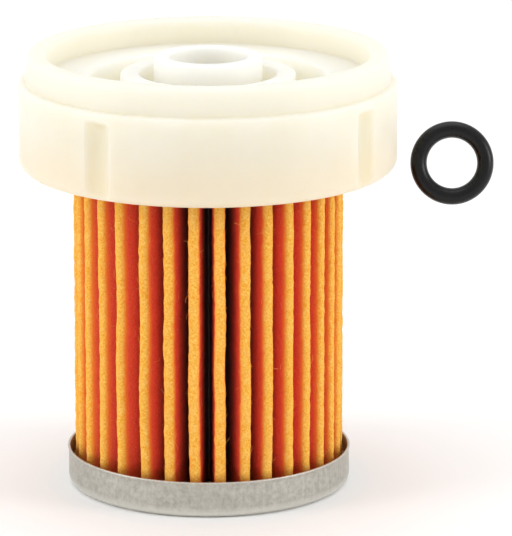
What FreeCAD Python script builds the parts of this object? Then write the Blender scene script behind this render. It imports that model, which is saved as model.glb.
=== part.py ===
# Cartridge fuel filter for a small engine. A moulded cap and a pressed cup hold a ring of pleated
# paper round a perforated tube, and a loose O-ring seals the cap's bore on the engine's filter head.
# Millimetres, +Z up, origin at the centre of the cup's underside, on which the filter stands.

import FreeCAD, Part
import math
import os

# Whole filter
overall_height = 66.8
cap_diameter = 57.0
media_diameter = 41.0

# Top cap: the skirt hangs from the ledge, and the collar stands on it
skirt_height = 13.4
skirt_wall = 2.6
skirt_rim_round = 1.8
ledge_round = 0.5
collar_height = 4.4
collar_setback = 1.0
collar_wall = 3.4
collar_draft = 0.35
collar_round = 0.8

# Top cap: the recess inside the collar, with two grooves round the boss
recess_depth = 3.8
groove_depth = 3.4
outer_groove_width = 4.5
ring_wall = 2.9
ring_drop = 3.3
ring_round = 0.3
inner_groove_width = 2.15
boss_diameter = 16.3
boss_drop = 0.7
boss_round = 0.6
bore_diameter = 12.0
bore_round = 0.4
deck_thickness = 2.2

# Top cap: the underside, which holds the tube and the paper
spigot_length = 2.8
potting_wall = 1.5
potting_wall_depth = 3.5
potting_gap = 0.5
shoulder_thickness = 2.5

# Top cap: shallow scallops down the outside of the skirt, as wide as their chord
notch_count = 4
notch_width = 4.5
notch_depth = 0.9
notch_below_ledge = 2.0
notch_start_angle = -125.0

# Paper, folded into radial pleats
pleat_count = 33
paper_thickness = 0.6
tip_width = 1.65
root_width = 1.5
seam_setback = 0.5
seam_gap = 0.05

# Seam clip, a U-shaped strip over the sheet's two ends
clip_sheet = 0.3
clip_reach = 3.4
clip_clearance = 0.05

# Centre tube, rolled from perforated sheet
tube_sheet = 0.3
tube_clearance = 0.45
lock_seam_width = 3.0
lock_seam_height = 0.5
media_clearance = 0.5
hole_diameter = 2.2
hole_columns = 8
hole_row_pitch = 5.0
hole_end_margin = 6.0

# Bottom cup, pressed from sheet
cup_sheet = 0.4
cup_height = 5.6
cup_corner = 1.2
cup_clearance = 0.6
lip_flare = 0.2
lip_length = 0.5
bead_height = 0.8
bead_width = 2.6
bead_round = 0.4
bead_clearance = 0.4

# Adhesive at both ends of the paper
adhesive_depth = 2.5
paper_bed = 0.6

# O-ring, loose beside the cap and turned a little upwards
o_ring_section = 2.5
seal_squeeze = 0.6
o_ring_standoff = 2.0
o_ring_below_top = 17.4
o_ring_tilt = 14.4

# Heights and radii that follow from them
cap_radius = cap_diameter / 2
ledge_z = overall_height - collar_height
skirt_rim_z = ledge_z - skirt_height
skirt_inner_radius = cap_radius - skirt_wall
collar_radius = cap_radius - collar_setback
recess_radius = collar_radius - collar_wall
recess_floor_z = overall_height - recess_depth
groove_floor_z = recess_floor_z - groove_depth
underside_z = groove_floor_z - deck_thickness
boss_radius = boss_diameter / 2
bore_radius = bore_diameter / 2
boss_top_z = overall_height - boss_drop
ring_inner_radius = boss_radius + inner_groove_width
ring_radius = ring_inner_radius + ring_wall
shoulder_radius = ring_radius + outer_groove_width

media_radius = media_diameter / 2
potting_inner_radius = media_radius + potting_gap
potting_radius = potting_inner_radius + potting_wall
tube_inner_radius = boss_radius + tube_clearance
tube_radius = tube_inner_radius + tube_sheet
media_inner_radius = tube_radius + lock_seam_height + media_clearance
paper_bottom_z = cup_sheet + paper_bed
paper_top_z = underside_z - paper_bed
cup_inner_radius = media_radius + cup_clearance
cup_radius = cup_inner_radius + cup_sheet


def outline(corners):
    """A closed wire in the XZ plane through (radius, height) corners; a third value rounds a corner."""
    points = [FreeCAD.Vector(corner[0], 0, corner[1]) for corner in corners]
    starts, ends, edges = [], [], []
    for number, point in enumerate(points):
        arriving = (point - points[number - 1]).normalize()
        leaving = (points[(number + 1) % len(points)] - point).normalize()
        radius = corners[number][2] if len(corners[number]) > 2 else 0
        half_turn = arriving.getAngle(leaving) / 2
        reach = radius * math.tan(half_turn)
        starts.append(point - arriving * reach)
        ends.append(point + leaving * reach)
        if radius:
            inwards = (leaving - arriving).normalize()
            middle = point + inwards * radius * (1 / math.cos(half_turn) - 1)
            edges.append(Part.Arc(starts[-1], middle, ends[-1]).toShape())
    for number in range(len(points)):
        if (starts[number] - ends[number - 1]).Length > 1e-6:
            edges.append(Part.makeLine(ends[number - 1], starts[number]))
    return Part.Wire(Part.__sortEdges__(edges))


def turned(corners):
    """A solid of revolution about Z."""
    face = Part.Face(outline(corners))
    return face.revolve(FreeCAD.Vector(0, 0, 0), FreeCAD.Vector(0, 0, 1), 360)


def ring(inner, outer, bottom, top, top_round=0):
    """A plain ring about Z, with its two top edges rounded."""
    return turned([(inner, bottom), (outer, bottom), (outer, top, top_round), (inner, top, top_round)])


def polar(radius, angle, height=0):
    """The point at a radius and an angle in degrees about Z."""
    turn = math.radians(angle)
    return FreeCAD.Vector(radius * math.cos(turn), radius * math.sin(turn), height)


def radial_block(inner, outer, width, bottom, top, angle):
    """A block of one width that reaches outwards from Z at an angle."""
    block = Part.makeBox(outer - inner, width, top - bottom, FreeCAD.Vector(inner, -width / 2, bottom))
    block.rotate(FreeCAD.Vector(0, 0, 0), FreeCAD.Vector(0, 0, 1), angle)
    return block


def top_cap():
    """Skirt, collar, stepped deck, inner ring and boss in one moulding."""
    skirt = turned([
        (skirt_inner_radius, skirt_rim_z, 0.3),
        (cap_radius, skirt_rim_z, skirt_rim_round),
        (cap_radius, ledge_z, ledge_round),
        (skirt_inner_radius, ledge_z),
    ])
    collar = turned([
        (recess_radius, recess_floor_z - shoulder_thickness),
        (collar_radius, recess_floor_z - shoulder_thickness),
        (collar_radius, ledge_z),
        (collar_radius - collar_draft, overall_height, collar_round),
        (recess_radius + collar_draft, overall_height, collar_round),
        (recess_radius, recess_floor_z),
    ])
    boss = turned([
        (bore_radius, underside_z - spigot_length),
        (boss_radius, underside_z - spigot_length),
        (boss_radius, boss_top_z, boss_round),
        (bore_radius, boss_top_z, bore_round),
    ])
    features = [
        collar,
        boss,
        ring(bore_radius, shoulder_radius, underside_z, groove_floor_z),
        ring(ring_inner_radius, ring_radius, underside_z, overall_height - ring_drop, ring_round),
        ring(shoulder_radius, potting_radius, underside_z, recess_floor_z),
        ring(shoulder_radius, collar_radius, recess_floor_z - shoulder_thickness, recess_floor_z),
        ring(potting_inner_radius, potting_radius, underside_z - potting_wall_depth, underside_z),
    ]
    cap = skirt.fuse(features)
    chord_depth = notch_depth - cap_radius + math.sqrt(cap_radius ** 2 - notch_width ** 2 / 4)
    notch_radius = (notch_width ** 2 / 4 + chord_depth ** 2) / (2 * chord_depth)
    for number in range(notch_count):
        angle = notch_start_angle + 360 / notch_count * number
        middle = polar(cap_radius - notch_depth + notch_radius, angle, skirt_rim_z - 1)
        cap = cap.cut(Part.makeCylinder(notch_radius, skirt_height - notch_below_ledge + 1, middle))
    return cap.removeSplitter()


def fold_circles():
    """Centre and radius of each fold along the sheet, + at a tip and - at a root, 0 at its two ends."""
    tip = (tip_width - paper_thickness) / 2
    root = (root_width - paper_thickness) / 2
    tip_circle = media_radius - paper_thickness / 2 - tip
    root_circle = media_inner_radius + paper_thickness / 2 + root
    end_aside = (paper_thickness + seam_gap) / 2
    end_reach = media_radius - seam_setback
    pitch = 360 / pleat_count
    circles = [(FreeCAD.Vector(-end_aside, end_reach, 0), 0)]
    for number in range(pleat_count):
        angle = 90 + pitch * (number + 0.5)
        circles.append((polar(root_circle, angle), -root))
        circles.append((polar(tip_circle, angle + pitch / 2), tip))
    circles[-1] = (FreeCAD.Vector(end_aside, end_reach, 0), 0)
    return circles


def paper_side(offset):
    """Edges of one side of the folded sheet, offset to the left of its middle."""
    edges = []
    circles = fold_circles()
    for (centre, radius), (next_centre, next_radius) in zip(circles, circles[1:]):
        along = next_centre - centre
        heading = math.atan2(along.y, along.x) + math.asin((radius - next_radius) / along.Length)
        left = FreeCAD.Vector(-math.sin(heading), math.cos(heading), 0)
        start = centre - left * (radius - offset)
        if edges:
            fold = centre + FreeCAD.Vector(centre).normalize() * (radius - offset)
            edges.append(Part.Arc(end, fold, start).toShape())
        end = next_centre - left * (next_radius - offset)
        edges.append(Part.makeLine(start, end))
    return edges


def pleated_media():
    """One sheet of filter paper, folded into pleats, with its ends side by side at the back."""
    left = paper_side(paper_thickness / 2)
    right = paper_side(-paper_thickness / 2)
    ends = [
        Part.makeLine(left[0].firstVertex().Point, right[0].firstVertex().Point),
        Part.makeLine(left[-1].lastVertex().Point, right[-1].lastVertex().Point),
    ]
    wire = Part.Wire(Part.__sortEdges__(left + right + ends))
    wire.translate(FreeCAD.Vector(0, 0, paper_bottom_z))
    return Part.Face(wire).extrude(FreeCAD.Vector(0, 0, paper_top_z - paper_bottom_z))


def seam_clip():
    """A strip folded into a U over the two ends of the paper, open enough for them at its mouth."""
    paper_end = media_radius - seam_setback
    inner = paper_end - clip_reach
    outer = paper_end + clip_clearance
    start, end = (vertex.Point for vertex in paper_side(-paper_thickness / 2)[0].Vertexes)
    paper_at_mouth = start.x + (end.x - start.x) * (start.y - inner) / (start.y - end.y)
    slot = 2 * (abs(paper_at_mouth) + clip_clearance)
    strip = radial_block(inner, outer + clip_sheet, slot + 2 * clip_sheet, paper_bottom_z, paper_top_z, 90)
    return strip.cut(radial_block(inner - 1, outer, slot, paper_bottom_z - 1, paper_top_z + 1, 90))


def centre_tube():
    """A rolled tube with rows of round holes and a lock seam down its back."""
    tube = ring(tube_inner_radius, tube_radius, paper_bottom_z, paper_top_z)
    seam = radial_block(tube_radius - tube_sheet / 2, tube_radius + lock_seam_height, lock_seam_width,
                        paper_bottom_z, paper_top_z, 90)
    tube = tube.fuse(seam).removeSplitter()
    rows = int((paper_top_z - paper_bottom_z - 2 * hole_end_margin) / hole_row_pitch) + 1
    first_row_z = (paper_top_z + paper_bottom_z - (rows - 1) * hole_row_pitch) / 2
    step = 360 / hole_columns
    drills = []
    for row in range(rows):
        for column in range(hole_columns):
            angle = 90 + step * (column + 0.5)
            start = polar(tube_inner_radius - 1, angle, first_row_z + row * hole_row_pitch)
            drills.append(Part.makeCylinder(hole_diameter / 2, tube_sheet + 2, start, polar(1, angle)))
    return tube.cut(drills)


def cup_floor():
    """The upper side of the cup's floor from its centre out to its wall, as (radius, height) corners."""
    bead_outer = tube_inner_radius - bead_clearance
    return [
        (0, cup_sheet),
        (bead_outer - bead_width, cup_sheet, bead_round),
        (bead_outer - bead_width + bead_height, cup_sheet + bead_height, bead_round),
        (bead_outer - bead_height, cup_sheet + bead_height, bead_round),
        (bead_outer, cup_sheet, bead_round),
        (cup_inner_radius, cup_sheet, cup_corner - cup_sheet),
    ]


def bottom_cup():
    """A pressed cup with a thin flared lip and a ring-shaped bead that centres the tube."""
    wall_top_z = cup_height - lip_length
    underside = [(corner[0], corner[1] - cup_sheet) + corner[2:] for corner in cup_floor()[:-1]]
    outside = [
        (cup_radius, 0, cup_corner),
        (cup_radius, wall_top_z),
        (cup_radius + lip_flare, cup_height),
        (cup_inner_radius + lip_flare, cup_height),
        (cup_inner_radius, wall_top_z),
    ]
    return turned(underside + outside + cup_floor()[::-1])


def adhesive(block):
    """A poured block, less the paper, the clip and the tube that stand in it."""
    return block.cut([pleated_media(), seam_clip(), centre_tube()])


def top_adhesive():
    """The layer that bonds the paper and the tube to the cap's underside."""
    return adhesive(ring(boss_radius, potting_inner_radius, underside_z - adhesive_depth, underside_z))


def bottom_adhesive():
    """The layer that bonds the paper and the tube into the cup."""
    surface_z = cup_sheet + adhesive_depth
    return adhesive(turned(cup_floor() + [(cup_inner_radius, surface_z), (0, surface_z)]))


def o_ring():
    """A rubber ring that is a little larger outside than the bore it seals."""
    outer_radius = bore_radius + seal_squeeze / 2
    tilt = math.radians(o_ring_tilt)
    centre = FreeCAD.Vector(cap_radius + o_ring_standoff + outer_radius, 0, overall_height - o_ring_below_top)
    axis = FreeCAD.Vector(0, -math.cos(tilt), math.sin(tilt))
    return Part.makeTorus(outer_radius - o_ring_section / 2, o_ring_section / 2, centre, axis)


os.makedirs("parts", exist_ok=True)
for make in (top_cap, pleated_media, seam_clip, centre_tube, bottom_cup,
             top_adhesive, bottom_adhesive, o_ring):
    shape = make()
    shape.exportStep("parts/" + make.__name__ + ".step")
    box = shape.BoundBox
    print(make.__name__, "solids", len(shape.Solids), "valid", shape.isValid(),
          "volume %.1f" % shape.Volume, "z %.2f to %.2f" % (box.ZMin, box.ZMax))
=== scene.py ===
import bmesh
import bpy
import math
import numpy as np
from mathutils import Matrix, Vector


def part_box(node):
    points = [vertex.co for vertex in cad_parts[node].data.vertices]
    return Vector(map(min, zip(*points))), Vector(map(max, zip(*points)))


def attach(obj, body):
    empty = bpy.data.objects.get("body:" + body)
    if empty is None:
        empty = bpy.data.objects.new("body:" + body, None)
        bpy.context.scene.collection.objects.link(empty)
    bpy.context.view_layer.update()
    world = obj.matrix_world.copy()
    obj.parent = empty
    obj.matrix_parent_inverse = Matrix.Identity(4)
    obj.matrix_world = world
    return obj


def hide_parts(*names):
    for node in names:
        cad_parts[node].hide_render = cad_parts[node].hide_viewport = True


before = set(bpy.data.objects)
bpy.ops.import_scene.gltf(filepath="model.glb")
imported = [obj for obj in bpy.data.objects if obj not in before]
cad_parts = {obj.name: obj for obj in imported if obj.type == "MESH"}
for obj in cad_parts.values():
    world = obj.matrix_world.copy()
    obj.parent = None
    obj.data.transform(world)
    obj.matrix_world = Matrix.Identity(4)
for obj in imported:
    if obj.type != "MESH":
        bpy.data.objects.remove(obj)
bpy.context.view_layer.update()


# ---- Top cap
# A moulding in natural nylon: ivory, satin, and cloudy enough for light to soak into its edges.
# The skirt hangs below a narrow ledge, the collar stands on it, and the recess inside the collar
# has two grooves round the boss that takes the outlet stem.

mm = 0.001
cap_low, cap_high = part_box("top_cap")
cap_radius = cap_high[0]
cap_top = cap_high[2]
skirt_rim = cap_low[2]
skirt_height = 13.4 * mm
skirt_wall = 2.6 * mm
ledge = skirt_rim + skirt_height
collar_radius = cap_radius - 1.0 * mm
collar_wall = 3.4 * mm
collar_lean = 0.35 * mm
collar_round = 0.95 * mm
collar_foot_round = 0.3 * mm
skirt_rim_round = 1.8 * mm
ledge_round = 0.55 * mm
recess_floor = cap_top - 3.8 * mm
groove_floor = recess_floor - 3.4 * mm
underside = groove_floor - 2.2 * mm
ring_top = cap_top - 3.3 * mm
boss_top = cap_top - 0.7 * mm
bore_radius = 6.0 * mm
bore_round = 0.4 * mm
boss_radius = 8.15 * mm
boss_round = 0.6 * mm
ring_inner = boss_radius + 2.15 * mm
ring_outer = ring_inner + 2.9 * mm
shoulder_edge = ring_outer + 4.5 * mm
potting_wall_inner = 21.0 * mm
potting_wall_outer = 22.5 * mm
potting_wall_depth = 3.5 * mm
spigot_depth = 2.8 * mm
web = 2.5 * mm
mould_draft = 0.06 * mm
soft = 0.35 * mm
edge_break = 0.2 * mm
corner_steps = 5
cap_step = math.radians(1.4)
notch_count = 4
notch_spacing = 2 * math.pi / notch_count
first_notch = math.radians(-125)
notch_width = 4.5 * mm
notch_depth = 0.9 * mm
notch_top = ledge - 2.0 * mm
notch_end = 0.9 * mm
notch_end_rows = 4
notch_columns = 28
notch_margin = 0.54
notched_band = 2 * mm
chord_depth = notch_depth - cap_radius + math.sqrt(cap_radius ** 2 - notch_width ** 2 / 4)
notch_radius = (notch_width ** 2 / 4 + chord_depth ** 2) / (2 * chord_depth)


def placed(name, data):
    """An object in the scene that shows the data."""
    piece = bpy.data.objects.new(name, data)
    bpy.context.scene.collection.objects.link(piece)
    return piece


def rounded(corners, longest):
    """Points along a closed outline of (radius, height, round) corners, no gap over the longest."""
    points = [Vector(corner[:2]) for corner in corners]
    outline = []
    for number, point in enumerate(points):
        arriving = (point - points[number - 1]).normalized()
        leaving = (points[(number + 1) % len(points)] - point).normalized()
        turn = arriving.angle_signed(leaving)
        radius = corners[number][2] if len(corners[number]) > 2 else 0
        reach = radius * math.tan(abs(turn) / 2)
        start = point - arriving * reach
        if outline:
            gap = start - outline[-1]
            pieces = max(1, math.ceil(gap.length / longest))
            previous = outline[-1]
            outline += [previous + gap * step / pieces for step in range(1, pieces)]
        if not radius:
            outline.append(point)
            continue
        centre = start + Vector((-arriving.y, arriving.x)) * radius * (-1 if turn > 0 else 1)
        for step in range(corner_steps + 1):
            swing = Matrix.Rotation(-turn * step / corner_steps, 2)
            outline.append(centre + swing @ (start - centre))
    return [(point.x, point.y) for point in outline]


def turned(name, outline, angles, dent=None, closed=True):
    """A mesh of revolution: the outline at each angle, dent(radius, height, angle) as its radius."""
    radius, height = np.array(outline).T[:, :, None]
    angle = np.array(angles)[None, :]
    if dent:
        radius = dent(radius, height, angle)
    x = radius * np.cos(angle)
    y = radius * np.sin(angle)
    z = height + 0 * angle
    rows, columns = x.shape
    faces = []
    for row in range(rows if closed else rows - 1):
        for column in range(columns):
            after = (row + 1) % rows
            beside = (column + 1) % columns
            faces.append((row * columns + column, row * columns + beside,
                          after * columns + beside, after * columns + column))
    mesh = bpy.data.meshes.new(name)
    mesh.from_pydata(np.stack([x, y, z], 2).reshape(-1, 3).tolist(), [], faces)
    shell = bmesh.new()
    shell.from_mesh(mesh)
    bmesh.ops.remove_doubles(shell, verts=shell.verts, dist=1e-6)
    bmesh.ops.recalc_face_normals(shell, faces=shell.faces)
    shell.to_mesh(mesh)
    shell.free()
    mesh.shade_smooth()
    return placed(name, mesh)


def smooth_step(value):
    """Eases a value from 0 to 1, level at both ends."""
    value = np.clip(value, 0, 1)
    return value * value * (3 - 2 * value)


def notched(radius, height, angle):
    """Cuts the four shallow scallops down the skirt's face."""
    from_notch = (angle - first_notch + notch_spacing / 2) % notch_spacing - notch_spacing / 2
    middle = cap_radius - notch_depth + notch_radius
    within = np.clip(from_notch, -notch_width / 2 / cap_radius, notch_width / 2 / cap_radius)
    face = middle * np.cos(within) - np.sqrt(notch_radius ** 2 - (middle * np.sin(within)) ** 2)
    down = smooth_step((notch_top + notch_end - height) / notch_end)
    face = cap_radius - np.maximum(cap_radius - face, 0) * down
    outside = (height < ledge) & (radius > cap_radius - notched_band)
    return np.where(outside, np.minimum(radius, face), radius + 0 * angle)


def notch_angles(spacing):
    """Even angles round the cap, with close ones across each notch."""
    angles = set(np.round(np.arange(0, 2 * math.pi, spacing), 5))
    for notch in range(notch_count):
        middle = first_notch + notch * notch_spacing
        for step in np.linspace(-notch_margin, notch_margin, notch_columns):
            angles.add(round((middle + step * notch_width / cap_radius) % (2 * math.pi), 5))
    return sorted(angles)


cap_outline = rounded([
    (cap_radius - skirt_wall, skirt_rim, soft),
    (cap_radius, skirt_rim, skirt_rim_round),
    *[(cap_radius, notch_top + notch_end * row / notch_end_rows) for row in range(notch_end_rows + 1)],
    (cap_radius, ledge, ledge_round),
    (collar_radius, ledge, collar_foot_round),
    (collar_radius - collar_lean, cap_top, collar_round),
    (collar_radius - collar_wall + collar_lean, cap_top, collar_round),
    (collar_radius - collar_wall, recess_floor, soft),
    (shoulder_edge, recess_floor, soft),
    (shoulder_edge - mould_draft, groove_floor, soft),
    (ring_outer + mould_draft, groove_floor, soft),
    (ring_outer, ring_top, soft),
    (ring_inner, ring_top, soft),
    (ring_inner - mould_draft, groove_floor, soft),
    (boss_radius + mould_draft, groove_floor, soft),
    (boss_radius, boss_top, boss_round),
    (bore_radius, boss_top, bore_round),
    (bore_radius, underside - spigot_depth, edge_break),
    (boss_radius, underside - spigot_depth, edge_break),
    (boss_radius, underside),
    (potting_wall_inner, underside),
    (potting_wall_inner, underside - potting_wall_depth, edge_break),
    (potting_wall_outer, underside - potting_wall_depth, edge_break),
    (potting_wall_outer, recess_floor - web, soft),
    (cap_radius - skirt_wall, recess_floor - web, soft),
], longest=0.7 * mm)
cap = turned("nylon_cap", cap_outline, notch_angles(cap_step), dent=notched)


class Finish:
    """A material under construction: its principled shader and short ways to add nodes to it."""

    def __init__(self, name, roughness, sockets=()):
        self.material = bpy.data.materials.new(name)
        self.material.use_nodes = True
        self.tree = self.material.node_tree
        self.shader = self.tree.nodes["Principled BSDF"]
        self.shader.inputs["Roughness"].default_value = roughness
        for socket, value in dict(sockets).items():
            self.shader.inputs[socket].default_value = value
        self.where = self.node("ShaderNodeTexCoord").outputs["Object"]

    def node(self, kind, **settings):
        made = self.tree.nodes.new(kind)
        for setting, value in settings.items():
            setattr(made, setting, value)
        return made

    def put(self, socket, value):
        """Links a socket to the value if that is another socket, or else sets it."""
        if isinstance(value, bpy.types.NodeSocket):
            self.tree.links.new(value, socket)
        else:
            socket.default_value = value

    def noise(self, size, detail=4, stretch=(1, 1, 1), rough=0.55):
        """Noise whose lumps are about the given size, longer along an axis with a small stretch."""
        mapping = self.node("ShaderNodeMapping")
        self.put(mapping.inputs["Vector"], self.where)
        self.put(mapping.inputs["Scale"], stretch)
        noise = self.node("ShaderNodeTexNoise")
        self.put(noise.inputs["Vector"], mapping.outputs[0])
        self.put(noise.inputs["Scale"], 1 / size)
        self.put(noise.inputs["Detail"], detail)
        self.put(noise.inputs["Roughness"], rough)
        return noise.outputs["Fac"]

    def spread(self, value, low, high, to_low=0.0, to_high=1.0):
        """The value's range from low to high, spread over another range."""
        spread = self.node("ShaderNodeMapRange")
        for socket, given in zip(spread.inputs, (value, low, high, to_low, to_high)):
            self.put(socket, given)
        return spread.outputs[0]

    def mix(self, amount, first, second):
        """The first colour, or the second where the amount is 1. Sockets 6, 7 and 2 hold colours."""
        mix = self.node("ShaderNodeMix", data_type="RGBA")
        self.put(mix.inputs[0], amount)
        self.put(mix.inputs[6], first)
        self.put(mix.inputs[7], second)
        return mix.outputs[2]

    def math(self, operation, first, second):
        result = self.node("ShaderNodeMath", operation=operation)
        self.put(result.inputs[0], first)
        self.put(result.inputs[1], second)
        return result.outputs[0]

    def sum(self, first, second):
        return self.math("ADD", first, second)

    def times(self, first, second):
        return self.math("MULTIPLY", first, second)

    def from_axis(self):
        """Distance from the filter's axis."""
        flat = self.node("ShaderNodeVectorMath", operation="MULTIPLY")
        self.put(flat.inputs[0], self.where)
        self.put(flat.inputs[1], (1, 1, 0))
        length = self.node("ShaderNodeVectorMath", operation="LENGTH")
        self.put(length.inputs[0], flat.outputs[0])
        return length.outputs["Value"]

    def height(self):
        axes = self.node("ShaderNodeSeparateXYZ")
        self.put(axes.inputs[0], self.where)
        return axes.outputs["Z"]

    def colour(self, value):
        self.put(self.shader.inputs["Base Color"], value)

    def rough(self, value):
        self.put(self.shader.inputs["Roughness"], value)

    def bump(self, height, distance):
        bump = self.node("ShaderNodeBump")
        self.put(bump.inputs["Height"], height)
        self.put(bump.inputs["Distance"], distance)
        self.put(self.shader.inputs["Normal"], bump.outputs[0])

    def on(self, piece):
        piece.data.materials.clear()
        piece.data.materials.append(self.material)


nylon = Finish("natural_nylon", 0.45, {
    "Subsurface Weight": 0.85,
    "Subsurface Radius": (1.0, 0.9, 0.7),
    "Subsurface Scale": 7 * mm,
    "Specular IOR Level": 0.35,
    "Sheen Weight": 0.06,
    "Sheen Roughness": 0.5,
})
cream = (0.84, 0.78, 0.64, 1)
clear_cream = (0.875, 0.825, 0.70, 1)
streak_cream = (0.86, 0.79, 0.61, 1)
# From here the creams are painted light: glow and shade on the skirt, yellow shade in the notches,
# shade on the collar, glow in the recess and the grooves.
skirt_glow_shade_cream = (0.76, 0.64, 0.465, 1)
notch_shade_cream = (0.91, 0.78, 0.49, 1)
collar_shade_cream = (0.77, 0.745, 0.655, 1)
recess_glow_cream = (0.985, 0.96, 0.845, 1)
groove_glow_cream = (1.0, 0.945, 0.79, 1)
cloudy = nylon.noise(9 * mm, detail=3)
flow = nylon.noise(5 * mm, detail=2, stretch=(1, 1, 0.25))
ivory = nylon.mix(nylon.spread(cloudy, 0.35, 0.65), cream, clear_cream)
ivory = nylon.mix(nylon.spread(flow, 0.45, 0.75, 0, 0.35), ivory, streak_cream)
# Painted glow and shade: the skirt is painted warmer and darker towards its rim, for the orange pleats
# showing through its thin wall.
skirt_glow_shade = nylon.spread(nylon.height(), ledge, skirt_rim, 0, 0.8)
ivory = nylon.mix(skirt_glow_shade, ivory, skirt_glow_shade_cream)
# Painted shade: the four notches are painted a darker yellow where the light falls off in them.
notch_painted_shade = nylon.spread(nylon.from_axis(), cap_radius - notch_depth, cap_radius - 0.1 * mm, 1, 0)
notch_painted_shade = nylon.times(notch_painted_shade, nylon.spread(nylon.height(), notch_top, notch_top + 0.4 * mm, 1, 0))
ivory = nylon.mix(nylon.times(notch_painted_shade, 0.5), ivory, notch_shade_cream)
# Painted shade: the collar above the ledge is painted darker and greyer than the skirt.
collar_painted_shade = nylon.spread(nylon.height(), ledge - 0.5 * mm, ledge + 0.8 * mm, 0, 0.8)
ivory = nylon.mix(collar_painted_shade, ivory, collar_shade_cream)
# Painted light: the recess inside the collar is painted paler, lifting the shade in it as if light
# glowed through its walls.
recess_painted_glow = nylon.spread(nylon.from_axis(), collar_radius - collar_wall - 0.5 * mm, shoulder_edge)
ivory = nylon.mix(recess_painted_glow, ivory, recess_glow_cream)
# Painted light: the grooves round the boss are painted brighter and yellower, a glow over the shade
# deep in them.
groove_painted_glow = nylon.times(recess_painted_glow, nylon.spread(nylon.height(), ring_top, groove_floor + 0.5 * mm))
nylon.colour(nylon.mix(groove_painted_glow, ivory, groove_glow_cream))
nylon.rough(nylon.spread(nylon.noise(1.2 * mm), 0.3, 0.7, 0.38, 0.52))
grain = nylon.sum(nylon.noise(0.35 * mm, detail=3), nylon.times(nylon.noise(6 * mm, detail=1), 3))
nylon.bump(grain, 0.02 * mm)
nylon.on(cap)
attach(cap, "filter")
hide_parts("top_cap")


# ---- Centre tube
# Rolled from perforated tin plate with a lock seam down its back. It stands inside the pleats, so that
# the flow of fuel can't fold them inwards.

tin = Finish("tin_plate", 0.38, {"Metallic": 1.0})
rolled = tin.noise(1.5 * mm, detail=5, stretch=(1, 1, 0.15))
scuffed = tin.noise(0.4 * mm, detail=5, rough=0.7)
dark_tin = (0.42, 0.42, 0.41, 1)
light_tin = (0.56, 0.56, 0.54, 1)
scuffed_tin = (0.66, 0.65, 0.61, 1)
plate = tin.mix(tin.spread(rolled, 0.35, 0.7), dark_tin, light_tin)
tin.colour(tin.mix(tin.spread(scuffed, 0.52, 0.7, 0, 0.5), plate, scuffed_tin))
tin.rough(tin.spread(rolled, 0.3, 0.7, 0.3, 0.48))
tin.bump(tin.sum(rolled, scuffed), 0.012 * mm)
tin.on(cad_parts["centre_tube"])


# ---- Seam clip
# A tin-plate strip folded over the paper's two ends at the back and crimped: a row of small dents down
# each leg bites into the paper, and the crimping tool leaves shallow ones down its back.

clip_low, clip_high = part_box("seam_clip")
clip_sheet = 0.3 * mm
clip_bend = 0.55 * mm
clip_edge = 0.1 * mm
clip_half = clip_high[0]
clip_mouth = clip_low[1]
clip_back = clip_high[1]
crimp_pitch = 4.0 * mm
crimp_depth = 0.16 * mm
crimp_length = 0.6 * mm
crimp_reach = 0.5 * mm
back_dent = 0.12 * mm
clip_levels = 180
clip_profile = rounded([
    (clip_half, clip_mouth, clip_edge),
    (clip_half, clip_back, clip_bend),
    (-clip_half, clip_back, clip_bend),
    (-clip_half, clip_mouth, clip_edge),
    (clip_sheet - clip_half, clip_mouth, clip_edge),
    (clip_sheet - clip_half, clip_back - clip_sheet, clip_bend - clip_sheet),
    (clip_half - clip_sheet, clip_back - clip_sheet, clip_bend - clip_sheet),
    (clip_half - clip_sheet, clip_mouth, clip_edge),
], longest=0.25 * mm)
crimp_line = (clip_mouth + clip_back) / 2
clip_shell = bmesh.new()
clip_rings = []
for level in np.linspace(clip_low[2], clip_high[2], clip_levels):
    along = math.remainder(level - clip_low[2] - crimp_pitch / 2, crimp_pitch)
    struck = math.exp(-(along / crimp_length) ** 2)
    ring = []
    for across, reach in clip_profile:
        bite = crimp_depth * struck * math.exp(-((reach - crimp_line) / crimp_reach) ** 2)
        dent = back_dent * struck * math.exp(-((reach - clip_back) / crimp_reach) ** 2)
        ring.append(clip_shell.verts.new((across - math.copysign(bite, across), reach - dent, level)))
    clip_rings.append(ring)
clip_shell.faces.new(clip_rings[0])
clip_shell.faces.new(clip_rings[-1])
for ring, next_ring in zip(clip_rings, clip_rings[1:]):
    for number in range(len(ring)):
        clip_shell.faces.new((ring[number - 1], ring[number], next_ring[number], next_ring[number - 1]))
bmesh.ops.recalc_face_normals(clip_shell, faces=clip_shell.faces)
bmesh.ops.triangulate(clip_shell, faces=[face for face in clip_shell.faces if len(face.verts) > 4])
clip_mesh = bpy.data.meshes.new("crimped_clip")
clip_shell.to_mesh(clip_mesh)
clip_shell.free()
clip_mesh.shade_smooth()
clip = placed("crimped_clip", clip_mesh)
tin.on(clip)
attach(clip, "filter")
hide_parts("seam_clip")


# ---- Cap adhesive
# A thick two-part adhesive poured into the upturned cap. It sets hard round the top ends of the paper
# and the tube, and creeps a little way along the walls that hold it.

adhesive = Finish("cured_adhesive", 0.3, {"Coat Weight": 0.3})
dark_amber = (0.36, 0.20, 0.07, 1)
light_amber = (0.52, 0.31, 0.12, 1)
bubble_amber = (0.66, 0.46, 0.24, 1)
cure = adhesive.noise(4 * mm, detail=5)
bubbles = adhesive.noise(0.5 * mm, detail=2)
amber = adhesive.mix(adhesive.spread(cure, 0.3, 0.7), dark_amber, light_amber)
adhesive.colour(adhesive.mix(adhesive.spread(bubbles, 0.62, 0.74, 0, 0.5), amber, bubble_amber))
adhesive.rough(adhesive.spread(cure, 0.3, 0.7, 0.24, 0.4))
adhesive.bump(adhesive.noise(2.5 * mm, detail=2), 0.15 * mm)
creep = 0.5 * mm
creep_width = 0.45 * mm
free_face_steps = 60
pour_columns = 180


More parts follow.
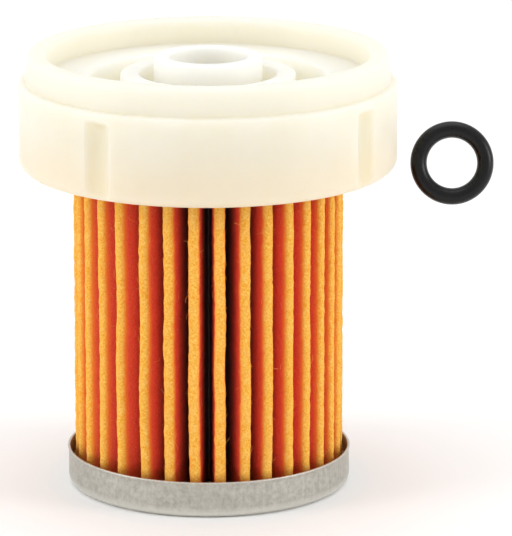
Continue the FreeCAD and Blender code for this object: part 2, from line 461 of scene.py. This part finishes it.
def free_face(inner, outer, level, rise):
    """The free face of a poured layer from its outer wall to its inner one, drawn up at both."""
    face = []
    for radius in np.linspace(outer, inner, free_face_steps):
        drawn = math.exp(-(outer - radius) / creep_width)
        if inner:
            drawn += math.exp(-(radius - inner) / creep_width)
        face.append((radius, level + rise * drawn))
    return face


pour_angles = np.linspace(0, 2 * math.pi, pour_columns, endpoint=False)
cap_pour_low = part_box("top_adhesive")[0][2]
cap_pour_outline = [(boss_radius, underside), (potting_wall_inner, underside)]
cap_pour_outline += free_face(boss_radius, potting_wall_inner, cap_pour_low, -creep)
cap_pour = turned("cap_adhesive", cap_pour_outline, pour_angles)
adhesive.on(cap_pour)
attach(cap_pour, "filter")
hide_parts("top_adhesive")


# ---- Pleated paper
# One sheet of thick resin-treated filter paper, scored and folded into radial pleats. It is soft and
# fibrous, so no two pleats stand quite alike: each leans, waves and bulges a little on its way up.

paper_low, paper_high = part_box("pleated_media")
media_radius = paper_high[0]
pleat_count = 33
pitch = 2 * math.pi / pleat_count
paper_thickness = 0.6 * mm
tip_fold = 0.525 * mm
root_fold = 0.45 * mm
tip_circle = media_radius - paper_thickness / 2 - tip_fold
paper_inner_radius = 9.9 * mm
root_circle = paper_inner_radius + paper_thickness / 2 + root_fold
tip_steps = 4
flank_steps = 5
root_steps = 2
paper_levels = 100
back_levels = 25


def arc(centre, radius, start, end, steps):
    """Points round part of a circle."""
    return [centre + radius * Vector((math.cos(start + (end - start) * step / steps),
                                      math.sin(start + (end - start) * step / steps)))
            for step in range(steps + 1)]


def half_pleat(offset):
    """One face of the sheet from the middle of a tip fold to the middle of the next root fold."""
    tip = Vector((tip_circle, 0))
    root = root_circle * Vector((math.cos(pitch / 2), math.sin(pitch / 2)))
    along = root - tip
    lean = math.atan2(along.y, along.x) - math.acos((tip_fold + root_fold) / along.length)
    around_tip = arc(tip, tip_fold + offset, 0, lean, tip_steps)
    around_root = arc(root, root_fold - offset, lean + math.pi, pitch / 2 + math.pi, root_steps)
    flank = [around_tip[-1].lerp(around_root[0], step / flank_steps)
             for step in range(1, flank_steps)]
    return around_tip + flank + around_root


def one_pleat():
    """Both faces of one pleat and its end grain, its tip pointing along X."""
    points = []
    faces = []
    rims = []
    for side, levels in ((1, paper_levels), (-1, back_levels)):
        half = half_pleat(side * paper_thickness / 2)
        profile = [Vector((point.x, -point.y)) for point in half[:0:-1]] + half
        across = len(profile)
        first = len(points)
        for level in np.linspace(paper_low[2], paper_high[2], levels):
            points += [(point.x, point.y, level) for point in profile]
        for level in range(levels - 1):
            for place in range(across - 1):
                corner = first + level * across + place
                faces.append([corner, corner + 1, corner + across + 1, corner + across][::side])
        rims.append((first, first + (levels - 1) * across))
    for place in range(across - 1):
        (bottom, top), (back_bottom, back_top) = [(low + place, high + place) for low, high in rims]
        faces.append([top, top + 1, back_top + 1, back_top])
        faces.append([bottom + 1, bottom, back_bottom, back_bottom + 1])
    mesh = bpy.data.meshes.new("pleat")
    mesh.from_pydata(points, [], faces)
    return placed("paper_pleats", mesh)


class Grower:
    """A Geometry Nodes tree under construction, with named number inputs."""

    def __init__(self, name, **inputs):
        self.tree = bpy.data.node_groups.new(name, "GeometryNodeTree")
        self.tree.interface.new_socket("Geometry", in_out="INPUT", socket_type="NodeSocketGeometry")
        self.tree.interface.new_socket("Geometry", in_out="OUTPUT", socket_type="NodeSocketGeometry")
        self.values = inputs
        for label, value in inputs.items():
            kind = "NodeSocketInt" if isinstance(value, int) else "NodeSocketFloat"
            self.tree.interface.new_socket(label, in_out="INPUT", socket_type=kind)
        self.start = self.tree.nodes.new("NodeGroupInput")
        self.end = self.tree.nodes.new("NodeGroupOutput")

    def given(self, label):
        """An input's value."""
        return self.start.outputs[label]

    def node(self, kind, inputs=(), **settings):
        """A new node, its inputs linked to other sockets or set to numbers."""
        made = self.tree.nodes.new(kind)
        for setting, value in settings.items():
            setattr(made, setting, value)
        for socket, value in dict(inputs).items():
            if isinstance(value, bpy.types.NodeSocket):
                self.tree.links.new(value, made.inputs[socket])
            else:
                made.inputs[socket].default_value = value
        return made

    def math(self, operation, first, second=0.0, third=0.0):
        inputs = {0: first, 1: second, 2: third}
        return self.node("ShaderNodeMath", inputs, operation=operation).outputs[0]

    def random(self, low, high, seed):
        """A random number for each point."""
        inputs = {"Min": low, "Max": high, "Seed": seed}
        drawn = self.node("FunctionNodeRandomValue", inputs, data_type="FLOAT")
        return [socket for socket in drawn.outputs if socket.enabled][0]

    def axes(self, vector):
        """A vector's X, Y and Z."""
        return self.node("ShaderNodeSeparateXYZ", {0: vector}).outputs

    def from_axis(self, x, y):
        """Distance from the filter's axis."""
        return self.math("SQRT", self.math("MULTIPLY_ADD", x, x, self.math("MULTIPLY", y, y)))

    def turned_by(self, angle):
        """The rotation by an angle about Z."""
        angles = self.node("ShaderNodeCombineXYZ", {"Z": angle}).outputs[0]
        return self.node("FunctionNodeEulerToRotation", {0: angles}).outputs[0]

    def grow(self, piece, geometry, finish):
        """Ends the tree, runs it on the piece and keeps the result as the piece's plain mesh."""
        real = self.node("GeometryNodeRealizeInstances", {0: geometry}).outputs[0]
        dressed = self.node("GeometryNodeSetMaterial", {"Geometry": real, "Material": finish.material})
        self.tree.links.new(dressed.outputs[0], self.end.inputs[0])
        modifier = piece.modifiers.new(self.tree.name, "NODES")
        modifier.node_group = self.tree
        for socket in self.tree.interface.items_tree:
            if socket.in_out == "INPUT" and socket.name in self.values:
                modifier[socket.identifier] = self.values[socket.name]
        evaluated = piece.evaluated_get(bpy.context.evaluated_depsgraph_get())
        grown = bpy.data.meshes.new_from_object(evaluated)
        piece.modifiers.clear()
        piece.data = grown


paper = Finish("filter_paper", 0.95, {"Specular IOR Level": 0.05})
# The first colour is painted shade for deep in the gaps between the pleats.
gap_shade_dark = (0.16, 0.085, 0.075, 1)
deep_rust = (0.90, 0.12, 0.055, 1)
light_rust = (1.0, 0.17, 0.095, 1)
# The orange and gold colours are painted light for the fold shoulders and tips.
orange = (1.0, 0.24, 0.045, 1)
deep_gold = (0.88, 0.34, 0.022, 1)
light_gold = (0.98, 0.61, 0.13, 1)
bright_gold = (1.0, 0.62, 0.19, 1)
low_brown = (0.42, 0.10, 0.02, 1)
low_brown_from = 8.0 * mm
low_brown_full = 6.4 * mm
low_brown_wander = 2.5 * mm
distance = paper.from_axis()
felt = paper.noise(0.3 * mm, detail=5, rough=0.7)
mottle = paper.noise(1.6 * mm, detail=4)
hairs = paper.noise(0.12 * mm, detail=4, stretch=(1, 1, 0.18))
golden = paper.mix(paper.spread(felt, 0.38, 0.62), deep_gold, light_gold)
golden = paper.mix(paper.spread(mottle, 0.45, 0.75, 0, 0.35), golden, bright_gold)
rust = paper.mix(paper.spread(felt, 0.36, 0.64), deep_rust, light_rust)
# Painted shade: the flanks darken with depth, to near black deep in the gaps between the pleats.
gap_shade_fade = paper.spread(distance, media_radius - 7.0 * mm, media_radius - 2.6 * mm)
folded = paper.mix(gap_shade_fade, gap_shade_dark, rust)
# Painted highlight: the shoulders are painted orange and the fold tips golden, where the folds catch
# the light.
shoulder_painted_light = paper.spread(distance, media_radius - 1.5 * mm, media_radius - 0.9 * mm)
folded = paper.mix(shoulder_painted_light, folded, orange)
tip_painted_highlight = paper.spread(distance, media_radius - 0.9 * mm, media_radius - 0.35 * mm)
folded = paper.mix(tip_painted_highlight, folded, golden)
# The pleats are darker brown towards their bottom, just above the cup's lip, with an uneven edge.
uneven_height = paper.sum(paper.height(), paper.times(mottle, low_brown_wander))
low_browning = paper.spread(uneven_height, low_brown_from, low_brown_full)
paper.colour(paper.mix(paper.times(low_browning, 0.55), folded, low_brown))
paper.bump(paper.sum(felt, paper.times(hairs, 0.8)), 0.12 * mm)

pleats = one_pleat()
pack = Grower("pleat_ring", Pleats=pleat_count, Lean=-0.07, Tilt=-0.01, Skew=0.022, Wave=0.009,
              Flutter=0.036, Bulge=0.008, Pinch=0.36, Setback=0.04, Roughness=0.35 * mm, Seed=5)
row = pack.node("GeometryNodePoints", {"Count": pack.given("Pleats")}).outputs[0]
index = pack.node("GeometryNodeInputIndex").outputs[0]
turn = pack.math("DIVIDE", 2 * math.pi, pack.given("Pleats"))
angle = pack.math("MULTIPLY_ADD", index, turn, math.pi / 2)
standing = pack.node("GeometryNodeInstanceOnPoints", {
    "Points": row, "Instance": pack.given("Geometry"), "Rotation": pack.turned_by(angle)}).outputs[0]


def remember(geometry, name, value):
    """Keeps a number for each pleat, so that the folded sheet's points can read it."""
    return pack.node("GeometryNodeStoreNamedAttribute",
                     {"Geometry": geometry, "Name": name, "Value": value}, domain="INSTANCE").outputs[0]


def recall(name):
    """The number kept for the pleat that a point is on."""
    return pack.node("GeometryNodeInputNamedAttribute", {"Name": name}).outputs[0]


weld = 0.004 * mm
apart = 40.0
ripple_scale = 75.0
felt_lump = 1.1 * mm
standing = remember(standing, "pleat_angle", angle)
standing = remember(standing, "pleat_chance", pack.random(-1.0, 1.0, pack.given("Seed")))
standing = remember(standing, "pleat_seam", pack.math("COMPARE", index, 0.0, 0.5))
sheet = pack.node("GeometryNodeRealizeInstances", {0: standing}).outputs[0]
sheet = pack.node("GeometryNodeMergeByDistance", {"Geometry": sheet, "Distance": weld}).outputs[0]

place = pack.node("GeometryNodeInputPosition").outputs[0]
x, y, z = pack.axes(place)
outward = pack.node("ShaderNodeMapRange", {
    "Value": pack.from_axis(x, y), "From Min": root_circle, "From Max": media_radius}).outputs[0]
aside = pack.math("SUBTRACT", pack.math("ARCTAN2", y, x), recall("pleat_angle"))
aside = pack.math("WRAP", aside, math.pi, -math.pi)
own_noise = pack.math("MULTIPLY", recall("pleat_chance"), apart)
up_pleat = pack.node("ShaderNodeCombineXYZ", {"X": own_noise, "Z": z}).outputs[0]
ripple = pack.node("ShaderNodeTexNoise", {
    "Vector": up_pleat, "Scale": ripple_scale, "Detail": 3.0}).outputs[0]
ripple = pack.math("SUBTRACT", ripple, 0.5)
sideways = pack.math("COSINE", recall("pleat_angle"))
frontal = pack.math("MULTIPLY", sideways, sideways)
lean = pack.math("MULTIPLY_ADD", frontal, pack.given("Lean"), pack.given("Tilt"))
lean = pack.math("MULTIPLY_ADD", sideways, pack.given("Skew"), lean)
lean = pack.math("MULTIPLY_ADD", recall("pleat_chance"), pack.given("Wave"), lean)
lean = pack.math("MULTIPLY_ADD", ripple, pack.given("Flutter"), lean)
lean = pack.math("MULTIPLY", lean, pack.math("SUBTRACT", 1.0, recall("pleat_seam")))
pinch = pack.math("MULTIPLY", recall("pleat_seam"), pack.given("Pinch"))
pinch = pack.math("MULTIPLY", pinch, aside)
twist = pack.math("MULTIPLY", pack.math("SUBTRACT", lean, pinch), outward)
short = pack.math("MULTIPLY", pack.math("ADD", ripple, 0.5), pack.given("Bulge"))
short = pack.math("MULTIPLY_ADD", recall("pleat_seam"), pack.given("Setback"), short)
shrink = pack.math("SUBTRACT", 1.0, pack.math("MULTIPLY", short, outward))
twisted = pack.node("ShaderNodeVectorRotate", {"Vector": place, "Angle": twist}, rotation_type="Z_AXIS")
inwards = pack.node("ShaderNodeCombineXYZ", {"X": shrink, "Y": shrink, "Z": 1.0}).outputs[0]
moved = pack.node("ShaderNodeVectorMath", {0: twisted.outputs[0], 1: inwards},
                  operation="MULTIPLY").outputs[0]
felted = pack.node("ShaderNodeTexNoise", {
    "Vector": place, "Scale": 1 / felt_lump, "Detail": 2.0}).outputs["Color"]
felted = pack.node("ShaderNodeVectorMath", {0: felted, 1: (0.5, 0.5, 0.5)},
                   operation="SUBTRACT").outputs[0]
level_only = pack.node("ShaderNodeCombineXYZ", {
    "X": pack.given("Roughness"), "Y": pack.given("Roughness")}).outputs[0]
felted = pack.node("ShaderNodeVectorMath", {0: felted, 1: level_only}, operation="MULTIPLY").outputs[0]
sheet = pack.node("GeometryNodeSetPosition", {
    "Geometry": sheet, "Position": moved, "Offset": felted}).outputs[0]
sheet = pack.node("GeometryNodeSetShadeSmooth", {"Geometry": sheet}).outputs[0]
pack.grow(pleats, sheet, paper)
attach(pleats, "filter")
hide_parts("pleated_media")


# ---- Stray fibres
# Fine ends of fibre that stand out of the folds, where scoring has roughed the paper up. Most are too
# short to see; one in some hundreds is long. Each is a thin bent hair set on the folds at random.

fuzz = Grower("stray_fibres", Density=0.65e6, Shortest=0.6, Longest=1.3, Rarity=14.0,
              Thickness=0.014 * mm, Seed=9)
tip_depth = 1.0 * mm
lowest_hair = 5.8 * mm
highest_hair = skirt_rim + 2 * mm
x, y, z = fuzz.axes(fuzz.node("GeometryNodeInputPosition").outputs[0])
on_tips = fuzz.math("GREATER_THAN", fuzz.from_axis(x, y), media_radius - tip_depth)
in_sight = fuzz.math("MULTIPLY", fuzz.math("GREATER_THAN", z, lowest_hair),
                     fuzz.math("LESS_THAN", z, highest_hair))
roots = fuzz.node("GeometryNodeDistributePointsOnFaces", {
    "Mesh": fuzz.given("Geometry"), "Selection": fuzz.math("MULTIPLY", on_tips, in_sight),
    "Density": fuzz.given("Density"), "Seed": fuzz.given("Seed")})
bend = fuzz.node("GeometryNodeCurveQuadraticBezier", {
    "Resolution": 3, "Start": (0, 0, -0.02 * mm), "Middle": (0.45 * mm, 0, 0.25 * mm),
    "End": (0.75 * mm, 0.35 * mm, 0.16 * mm)}).outputs[0]
thread = fuzz.node("GeometryNodeCurvePrimitiveCircle", {
    "Resolution": 3, "Radius": fuzz.given("Thickness")}).outputs[0]
hair = fuzz.node("GeometryNodeCurveToMesh", {
    "Curve": bend, "Profile Curve": thread, "Fill Caps": True}).outputs[0]
heading = fuzz.random(0.0, 2 * math.pi, 4)
facing = fuzz.node("FunctionNodeRotateRotation", {
    "Rotation": roots.outputs["Rotation"], "Rotate By": fuzz.turned_by(heading)},
    rotation_space="LOCAL").outputs[0]
rare = fuzz.math("POWER", fuzz.random(0.0, 1.0, fuzz.given("Seed")), fuzz.given("Rarity"))
length = fuzz.math("MULTIPLY_ADD", rare, fuzz.given("Longest"), fuzz.given("Shortest"))
hairs_standing = fuzz.node("GeometryNodeInstanceOnPoints", {
    "Points": roots.outputs[0], "Instance": hair, "Rotation": facing, "Scale": length}).outputs[0]
fibres = placed("paper_fibres", pleats.data.copy())
fibre = Finish("paper_fibre", 0.9, {"Specular IOR Level": 0.1})
deep_fibre = (0.90, 0.36, 0.05, 1)
light_fibre = (1.0, 0.55, 0.16, 1)
fibre.colour(fibre.mix(fibre.noise(0.5 * mm), deep_fibre, light_fibre))
fuzz.grow(fibres, hairs_standing, fibre)
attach(fibres, "filter")


# ---- Bottom cup
# Pressed from thin tin plate that has gone dull: a flat floor, a rolled corner, a short wall and a raw
# lip that flares a little. A ring-shaped bead in the floor centres the tube.

cup_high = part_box("bottom_cup")[1]
cup_height = cup_high[2]
lip_flare = 0.2 * mm
lip_length = 0.6 * mm
lip_bend = 0.5 * mm
lip_edge = 0.12 * mm
cup_radius = cup_high[0] - lip_flare
cup_sheet = 0.4 * mm
cup_corner = 1.3 * mm
cup_columns = 240
draw_in = 0.08 * mm
out_of_round = 0.05 * mm
waver = 0.03 * mm
bead_outer = 8.2 * mm
bead_width = 2.6 * mm
bead_height = 0.8 * mm
bead_round = 0.4 * mm
cup_floor = [
    (0, cup_sheet),
    (bead_outer - bead_width, cup_sheet, bead_round),
    (bead_outer - bead_width + bead_height, cup_sheet + bead_height, bead_round),
    (bead_outer - bead_height, cup_sheet + bead_height, bead_round),
    (bead_outer, cup_sheet, bead_round),
]
cup_underside = [(corner[0], corner[1] - cup_sheet) + corner[2:] for corner in cup_floor]
cup_outline = rounded(cup_underside + [
    (cup_radius, 0, cup_corner),
    (cup_radius, cup_height - lip_length, lip_bend),
    (cup_radius + lip_flare, cup_height, lip_edge),
    (cup_radius + lip_flare - cup_sheet, cup_height, lip_edge),
    (cup_radius - cup_sheet, cup_height - lip_length, lip_bend),
    (cup_radius - cup_sheet, cup_sheet, cup_corner - cup_sheet),
] + cup_floor[::-1], longest=0.6 * mm)


def pressed(radius, height, angle):
    """Lets the cup's wall and lip run very slightly out of round, never wider than drawn."""
    wander = out_of_round * np.sin(3 * angle + 0.6) + waver * np.sin(7 * angle)
    up_wall = np.clip(height / cup_height, 0, 1) * (radius > cup_radius / 2)
    return radius - (draw_in + wander) * up_wall


cup_angles = np.linspace(0, 2 * math.pi, cup_columns, endpoint=False)
cup = turned("pressed_cup", cup_outline, cup_angles, dent=pressed, closed=False)
dull = Finish("dull_tin_plate", 0.5, {"Metallic": 0.7})
dark_dull = (0.37, 0.36, 0.32, 1)
light_dull = (0.55, 0.54, 0.49, 1)
drawn_dull = (0.64, 0.62, 0.57, 1)
# The last colour is painted highlight for the lip and the lower corner.
painted_highlight_grey = (0.76, 0.74, 0.68, 1)
spangle = dull.noise(0.9 * mm, detail=6, rough=0.7)
drawn = dull.noise(0.5 * mm, detail=4, stretch=(1, 1, 0.12))
grey = dull.mix(dull.spread(spangle, 0.35, 0.68), dark_dull, light_dull)
grey = dull.mix(dull.spread(drawn, 0.5, 0.8, 0, 0.35), grey, drawn_dull)
# Painted highlight: a bright line broken into specks along the lip.
lip_highlight_specks = dull.spread(dull.noise(0.25 * mm, detail=3), 0.4, 0.6, 0.35, 1)
lip_painted_highlight = dull.times(dull.spread(dull.height(), cup_height - 0.3 * mm, cup_height, 0, 0.9), lip_highlight_specks)
# Painted highlight: a bright band round the lower corner.
corner_painted_highlight = dull.spread(dull.height(), 1.7 * mm, 0.7 * mm, 0, 0.75)
dull.colour(dull.mix(dull.sum(lip_painted_highlight, corner_painted_highlight), grey, painted_highlight_grey))
dull.rough(dull.spread(spangle, 0.3, 0.7, 0.34, 0.5))
dull.bump(dull.sum(spangle, drawn), 0.03 * mm)
dull.on(cup)
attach(cup, "filter")
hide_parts("bottom_cup")


# ---- Cup adhesive
# The same adhesive, poured over the cup's floor before the paper and the tube are stood in it.

cup_pour_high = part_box("bottom_adhesive")[1][2]
wall_gap = 0.1 * mm
cup_wall_inner = cup_radius - cup_sheet - wall_gap
cup_pour_outline = rounded(cup_floor + [
    (cup_wall_inner, cup_sheet, 0.8 * mm),
    (cup_wall_inner, cup_pour_high),
    (0, cup_pour_high),
], longest=0.8 * mm)
below_face = cup_pour_high - 0.01 * mm
cup_pour_outline = [corner for corner in cup_pour_outline if corner[1] < below_face]
cup_pour_outline += free_face(0, cup_wall_inner, cup_pour_high, creep)
cup_pour = turned("cup_adhesive", cup_pour_outline, pour_angles, closed=False)
adhesive.on(cup_pour)
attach(cup_pour, "filter")
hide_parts("bottom_adhesive")


# ---- O-ring
# A moulded black rubber ring, matt and faintly dusty, with the fine line round it where the two
# halves of its mould met. It is loose, and goes on the outlet stem before the filter does.

ring_low, ring_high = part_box("o_ring")
ring_centre = (Vector(ring_low) + Vector(ring_high)) / 2
ring_section = 1.25 * mm
ring_middle = (ring_high[0] - ring_low[0]) / 2 - ring_section
ring_tilt = math.radians(14.4)
flash_height = 0.035 * mm
flash_width = 0.18
section_steps = 48
ring_columns = 160
section_outline = []
for step in range(section_steps):
    around = 2 * math.pi * step / section_steps
    flash = sum(math.exp(-(math.remainder(around - line, 2 * math.pi) / flash_width) ** 2)
                for line in (0, math.pi))
    reach = ring_section - flash_height + flash_height * flash
    section_outline.append((ring_middle + reach * math.cos(around), reach * math.sin(around)))
ring_angles = np.linspace(0, 2 * math.pi, ring_columns, endpoint=False)
o_ring = turned("rubber_ring", section_outline, ring_angles)
lean_back = Matrix.Rotation(math.pi / 2 - ring_tilt, 4, "X")
o_ring.data.transform(Matrix.Translation(ring_centre) @ lean_back)
rubber = Finish("black_rubber", 0.6, {"Specular IOR Level": 0.28})
dust = rubber.noise(1.4 * mm, detail=6, rough=0.65)
clean_black = (0.0015, 0.0015, 0.0016, 1)
dusty_black = (0.005, 0.0049, 0.0048, 1)
rubber.colour(rubber.mix(rubber.spread(dust, 0.4, 0.75), clean_black, dusty_black))
rubber.rough(rubber.spread(dust, 0.3, 0.7, 0.24, 0.36))
rubber.bump(rubber.noise(0.15 * mm, detail=4), 0.02 * mm)
rubber.on(o_ring)
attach(o_ring, "loose_ring")
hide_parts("o_ring")


# ---- Studio
# A white floor, large soft lights above and at both sides, and a long lens that looks slightly down.

floor_reach = 3.0
floor_level = -0.02 * mm
floor_corners = [(-floor_reach, -floor_reach, floor_level), (floor_reach, -floor_reach, floor_level),
                 (floor_reach, floor_reach, floor_level), (-floor_reach, floor_reach, floor_level)]
floor_mesh = bpy.data.meshes.new("floor")
floor_mesh.from_pydata(floor_corners, [], [(0, 1, 2, 3)])
floor = placed("floor", floor_mesh)
white_paper = Finish("studio_floor", 0.9)
off_white = (0.95, 0.95, 0.95, 1)
white = (0.97, 0.97, 0.97, 1)
white_paper.colour(white_paper.mix(white_paper.noise(400 * mm), off_white, white))
white_paper.on(floor)

look_at = Vector((7.2 * mm, 0, 33.1 * mm))
camera_tilt = math.radians(14.4)
camera_distance = 0.7
camera_pivot = Vector((0, 0, 32.5 * mm))


def soft_light(name, place, size, power):
    """A large square light that faces the filter."""
    light = bpy.data.lights.new(name, "AREA")
    light.size = size
    light.energy = power
    lamp = placed(name, light)
    lamp.location = place
    lamp.rotation_euler = (look_at - lamp.location).to_track_quat("-Z", "Y").to_euler()


soft_light("left_light", (-0.8, -0.28, 0.3), 0.35, 2.25)
soft_light("right_light", (0.8, -0.28, 0.3), 0.35, 2.25)
soft_light("top_light", (0, 0.1, 1.0), 0.9, 3.1)
world = bpy.data.worlds.new("studio")
world.use_nodes = True
background = world.node_tree.nodes["Background"]
background.inputs["Color"].default_value = (1, 1, 1, 1)
background.inputs["Strength"].default_value = 0.77
bpy.context.scene.world = world
bpy.context.scene.view_settings.view_transform = "Standard"

lens = bpy.data.cameras.new("camera")
lens.sensor_width = 36
lens.lens = 309.6
lens.clip_end = 20
camera = placed("camera", lens)
away = Vector((0, -math.cos(camera_tilt), math.sin(camera_tilt)))
camera.location = camera_pivot + away * camera_distance
camera.rotation_euler = (look_at - camera.location).to_track_quat("-Z", "Y").to_euler()
bpy.context.scene.camera = camera
